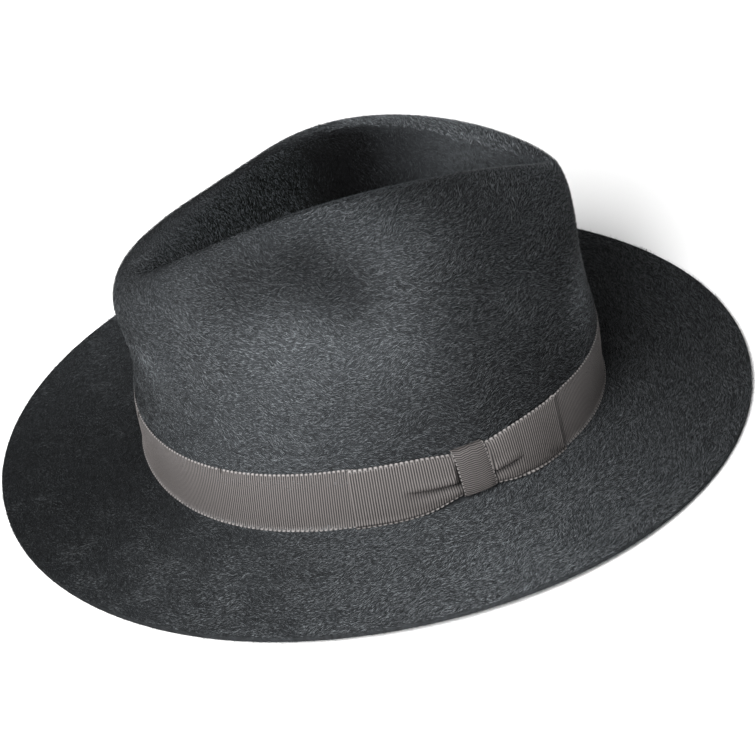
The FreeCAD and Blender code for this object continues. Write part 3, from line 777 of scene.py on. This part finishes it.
def satin_cloth(name, dark, light):
    """A satin whose threads run up and down, with soft puckers round the crown whose sheen is
    painted.
    """
    finish = Finish(name, 0.35, Specular_IOR_Level=0.5, Sheen_Weight=0.1)
    angle, height = round_angle(finish)
    warp = (angle * THREADS_ROUND).alone("SINE")
    weft = (height * (2 * math.pi / THREAD_PITCH)).alone("SINE")
    thread = warp * 0.5 + weft * 0.5
    pucker = (angle * PUCKERS_ROUND + finish.noise(20 * MM) * 8).alone("SINE")
    # The colour holds the weave's pattern and a painted sheen over the puckers, on top of their
    # bump.
    shine = finish.spread(thread + 0.5 * pucker, -1.5, 1.5)
    finish.set("Base Color", finish.mix(shine, dark, light))
    finish.set("Roughness", 0.30 + 0.15 * finish.noise(6 * MM))
    finish.bump(pucker * 0.5 + thread * 0.06, 0.5 * MM)
    return finish


def twisted(name, dark, light, pitch):
    """A twisted thread or cord: dark and light cross it on the slant."""
    finish = Finish(name, 0.6, Specular_IOR_Level=0.3)
    angle, height = round_angle(finish)
    turns = angle * (INNER_RADIUS / pitch * 2 * math.pi) + height * (2 * math.pi / pitch)
    turns = turns.alone("SINE")
    finish.set("Base Color", finish.mix(finish.spread(turns, -0.7, 0.7), dark, light))
    finish.bump(turns, 0.08 * MM)
    return finish


label_cloth = Finish("label_cloth", 0.7, Specular_IOR_Level=0.3)
label_weave = label_cloth.node("TexChecker", None, {"Vector": label_cloth.place(),
                                                    "Scale": 1 / (0.35 * MM)}, output=1)
label_cloth.set("Base Color", label_cloth.mix(label_weave, (0.30, 0.27, 0.21), (0.46, 0.42, 0.34)))
label_cloth.bump(label_weave, 0.06 * MM)

INSIDE = {
    "sweatband_leather": leather,
    "sweatband_reed": twisted("reed_cover", (0.010, 0.009, 0.009), (0.030, 0.027, 0.026), 0.5 * MM),
    "sweatband_tape": twisted("seam_tape", (0.010, 0.010, 0.010), (0.035, 0.034, 0.034), 0.7 * MM),
    "sweatband_bow": satin_cloth("bow_satin", (0.012, 0.012, 0.013), (0.045, 0.045, 0.048)),
    "lining_side": satin_cloth("lining_satin", (0.035, 0.036, 0.040), (0.100, 0.104, 0.112)),
    "lining_tip": satin_cloth("tip_satin", (0.035, 0.036, 0.040), (0.100, 0.104, 0.112)),
    "lining_piping": twisted("piping_cord", (0.018, 0.018, 0.020), (0.060, 0.061, 0.066), 1.2 * MM),
    "size_label": label_cloth,
}
seam_thread = twisted("seam_thread", (0.030, 0.026, 0.023), (0.090, 0.080, 0.072), 0.4 * MM)
ribbon_thread = twisted("ribbon_thread", (0.012, 0.011, 0.010), (0.045, 0.040, 0.038), 0.4 * MM)
for name in nodes:
    if name.endswith("stitches"):
        INSIDE[name] = seam_thread if name.startswith("sweatband") else ribbon_thread
for name, finish in INSIDE.items():
    nodes[name].data.materials.clear()
    nodes[name].data.materials.append(finish.material)
print(len(INSIDE), "solids keep their shape")

# %% [markdown]
# ## The nap
# A long-nap felt is brushed round the head, so its fibres lie nearly flat and point round the
# crown and the brim. In the centre dent the thumb has stroked them down the walls. Hair curves
# could make them, but a piece has to be a mesh, so Geometry Nodes scatters a tiny bent blade over
# a copy of the felt's outer face. Each blade is turned to the brush's stroke, then rolled, lifted
# and swung a little at random, which is what makes the light break up as on real fibres.

# %% One fibre
def fibre_blade():
    """A bent blade one unit long, pointed at both ends: two triangles."""
    mesh = bmesh.new()
    root = mesh.verts.new((0, 0, 0))
    sides = [mesh.verts.new((0.5, way * 0.5, 0.10)) for way in (-1, 1)]
    tip = mesh.verts.new((1, 0, 0.06))
    mesh.faces.new((root, sides[0], sides[1]))
    mesh.faces.new((sides[0], tip, sides[1]))
    data = bpy.data.meshes.new("fibre")
    mesh.to_mesh(data)
    mesh.free()
    blade = bpy.data.objects.new("fibre", data)
    bpy.context.collection.objects.link(blade)
    return blade


blade = fibre_blade()

# %% The faces that the brush reaches
# Heights over the crown's foot, the ribbon's top and the ribbon's lower edge.
BRIM_RISE, DENT_RISE, NAP_STARTS = 8 * MM, 35 * MM, 20 * MM
# How far up a face looks: on top of the brim, anywhere on the crown, and on a side leaning out.
BRIM_UP, CROWN_UP, SIDE_UP = 0.3, 0.2, -0.25


def region_of(face):
    """Which part of the hat a face of the felt is on, or None inside the crown."""
    centre = face.calc_center_median()
    normal = face.normal
    reach = math.hypot(centre.x / foot_half[0], centre.y / foot_half[1])
    if reach > 1.0 and centre.z < CROWN_FOOT + BRIM_RISE:
        return "brim_top" if normal.z > BRIM_UP else "brim_under"
    outward = normal.x * centre.x + normal.y * centre.y
    if normal.z > CROWN_UP or (outward > 0 and normal.z > SIDE_UP):
        if centre.z > RIBBON_TOP + DENT_RISE and outward < 0:
            return "dent"
        return "crown" if centre.z > FOOT_BOX[0][2] + NAP_STARTS else None
    return None


def felt_regions():
    """A mesh of each region's faces, cut from a welded copy of the felt."""
    whole = bmesh.new()
    whole.from_mesh(nodes["felt_body"].data)
    bmesh.ops.remove_doubles(whole, verts=whole.verts, dist=1e-6)
    whole.normal_update()
    names = [region_of(face) for face in whole.faces]
    out = {}
    for name in ("crown", "dent", "brim_top", "brim_under"):
        part = whole.copy()
        part.faces.ensure_lookup_table()
        others = [part.faces[k] for k, other in enumerate(names) if other != name]
        bmesh.ops.delete(part, geom=others, context="FACES")
        out[name] = (part, sum(face.calc_area() for face in part.faces))
    whole.free()
    return out


regions = felt_regions()
print({name: "%.0f cm2" % (area * 1e4) for name, (_, area) in regions.items()})

# %% [markdown]
# Scattering, turning and sizing the blades is one small node tree, written in the same way as a
# material. It is applied at once, so that each piece is an ordinary mesh.

# %% Combing fibres over a region
FIBRE_WIDTH = 0.105 * MM
# A fibre's least and most lift, roll and swing, in radians, and the swirl that turns neighbours.
LIFT, ROLL, SWING = (0.06, 0.40), 1.3, 0.45
SWIRL_SCALE, SWIRL_TURN = 70.0, 3.2
# Its least and most size, as shares of its length, width and bend.
LEAST_SIZE, MOST_SIZE = (0.5, 0.7, 0.6), (1.4, 1.3, 1.6)
# Down the walls of the dent, a little to the back and the wearer's left.
DOWN_STROKE = (0.15, 0.25, -1)


def geometry_node(tree, kind, settings=None, inputs=None):
    """A node of a geometry tree, with its settings first and then its inputs by name or place."""
    made = tree.nodes.new(kind)
    for name, value in (settings or {}).items():
        setattr(made, name, value)
    for name, value in (inputs or {}).items():
        if isinstance(value, bpy.types.NodeSocket):
            tree.links.new(value, made.inputs[name])
        else:
            made.inputs[name].default_value = value
    return made


def comb_tree(name, density, seed, stroke, length):
    """The node tree that scatters blades: stroke is "round" or "down"."""
    tree = bpy.data.node_groups.new(name, "GeometryNodeTree")
    tree.interface.new_socket("Geometry", in_out="INPUT", socket_type="NodeSocketGeometry")
    tree.interface.new_socket("Geometry", in_out="OUTPUT", socket_type="NodeSocketGeometry")
    source = tree.nodes.new("NodeGroupInput")
    result = tree.nodes.new("NodeGroupOutput")

    def make(kind, settings=None, inputs=None):
        return geometry_node(tree, kind, settings, inputs)

    points = make("GeometryNodeDistributePointsOnFaces", {"distribute_method": "RANDOM"},
                  {"Mesh": source.outputs[0], "Density": density, "Seed": seed})
    if stroke == "round":
        place = make("GeometryNodeInputPosition")
        comb = make("ShaderNodeVectorMath", {"operation": "CROSS_PRODUCT"},
                    {0: (0, 0, 1), 1: place.outputs[0]}).outputs[0]
    else:
        comb = DOWN_STROKE
    stand = make("FunctionNodeAlignRotationToVector", {"axis": "Z", "pivot_axis": "AUTO"},
                 {"Vector": points.outputs["Normal"]})
    lay = make("FunctionNodeAlignRotationToVector", {"axis": "X", "pivot_axis": "Z"},
               {"Rotation": stand.outputs[0], "Vector": comb})
    swirl = make("ShaderNodeTexNoise", None, {"Scale": SWIRL_SCALE, "Detail": 1.0})
    swirl_turn = make("ShaderNodeMath", {"operation": "MULTIPLY_ADD"},
                      {0: swirl.outputs[0], 1: SWIRL_TURN, 2: -SWIRL_TURN / 2})
    loose = make("FunctionNodeRandomValue", {"data_type": "FLOAT_VECTOR"},
                 {0: (-ROLL, -LIFT[1], -SWING), 1: (ROLL, -LIFT[0], SWING), "Seed": seed + 1})
    swing = make("ShaderNodeCombineXYZ", None, {2: swirl_turn.outputs[0]})
    turned = make("ShaderNodeVectorMath", {"operation": "ADD"},
                  {0: loose.outputs[0], 1: swing.outputs[0]})
    euler = make("FunctionNodeEulerToRotation", None, {0: turned.outputs[0]})
    rotation = make("FunctionNodeRotateRotation", {"rotation_space": "LOCAL"},
                    {0: lay.outputs[0], 1: euler.outputs[0]})
    least, most = ([size * share for size, share in zip((length, FIBRE_WIDTH, length), shares)]
                   for shares in (LEAST_SIZE, MOST_SIZE))
    scale = make("FunctionNodeRandomValue", {"data_type": "FLOAT_VECTOR"},
                 {0: least, 1: most, "Seed": seed + 2})
    shape = make("GeometryNodeObjectInfo", None, {"Object": blade})
    sown = make("GeometryNodeInstanceOnPoints", None,
                {"Points": points.outputs["Points"], "Instance": shape.outputs["Geometry"],
                 "Rotation": rotation.outputs[0], "Scale": scale.outputs[0]})
    real = make("GeometryNodeRealizeInstances", None, {0: sown.outputs[0]})
    tree.links.new(real.outputs[0], result.inputs[0])
    return tree


def nap(name, region, count, seed, finish, stroke="round", length=1.9 * MM):
    """A piece of about count fibres over a region of the felt."""
    part, area = regions[region]
    data = bpy.data.meshes.new(name + "_ground")
    part.to_mesh(data)
    ground = bpy.data.objects.new(name + "_ground", data)
    bpy.context.collection.objects.link(ground)
    modifier = ground.modifiers.new("comb", "NODES")
    modifier.node_group = comb_tree(name, count / area, seed, stroke, length)
    graph = bpy.context.evaluated_depsgraph_get()
    fibres = bpy.data.meshes.new_from_object(ground.evaluated_get(graph))
    fibres.materials.clear()
    fibres.materials.append(finish.material)
    bpy.data.objects.remove(ground)
    piece = bpy.data.objects.new(name, fibres)
    bpy.context.collection.objects.link(piece)
    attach(piece, "root")
    print(name, len(fibres.polygons), "triangles")


FIBRE_COLOURS = {"dark": (0.010, 0.011, 0.012), "mid": (0.040, 0.0435, 0.047),
                 "light": (0.115, 0.125, 0.133)}
fibre_finishes = {}
for tone, colour in FIBRE_COLOURS.items():
    fibre = Finish("fibre_" + tone, 0.6, Specular_IOR_Level=0.2)
    # Each tone of fibre gets the same painted sheen and painted shade as the felt.
    fibre.set("Base Color", fibre.scaled(colour, fibre.nap_painted_light()))
    fibre_finishes[tone] = fibre
dent_finish = Finish("fibre_dent", 0.9, Specular_IOR_Level=0.0)
# The dent's fibres: painted shade where its walls face the middle, a little uneven at random.
dent_painted_shade = dent_finish.mix(dent_finish.noise(3 * MM), (0.0007, 0.0007, 0.0008),
                            (0.003, 0.0031, 0.0033))
dent_finish.set("Base Color", dent_finish.mix(dent_finish.turned_in(DENT_LOW),
                                              (0.026, 0.028, 0.030), dent_painted_shade))
# Paler dent fibres, with the same painted shade where the walls face the middle.
dent_pale = Finish("fibre_dent_pale", 0.8, Specular_IOR_Level=0.1)
dent_pale.set("Base Color", dent_pale.mix(dent_pale.turned_in(DENT_LOW), (0.055, 0.060, 0.064),
                                          DENT_PAINTED_SHADE))

FIBRES = 88000
for number, tone in enumerate(FIBRE_COLOURS):
    for order, region in enumerate(("crown", "brim_top")):
        nap("nap_%s_%s" % (region, tone), region, FIBRES, 10 * number + order,
            fibre_finishes[tone])
nap("nap_dent_dark", "dent", FIBRES * 2 // 3, 71, dent_finish, "down")
nap("nap_dent_mid", "dent", FIBRES // 3, 72, dent_pale, "down", length=1.5 * MM)
nap("nap_under_mid", "brim_under", FIBRES // 3, 81, fibre_finishes["mid"])
nap("nap_under_dark", "brim_under", FIBRES // 3, 82, fibre_finishes["dark"])
bpy.data.objects.remove(blade)
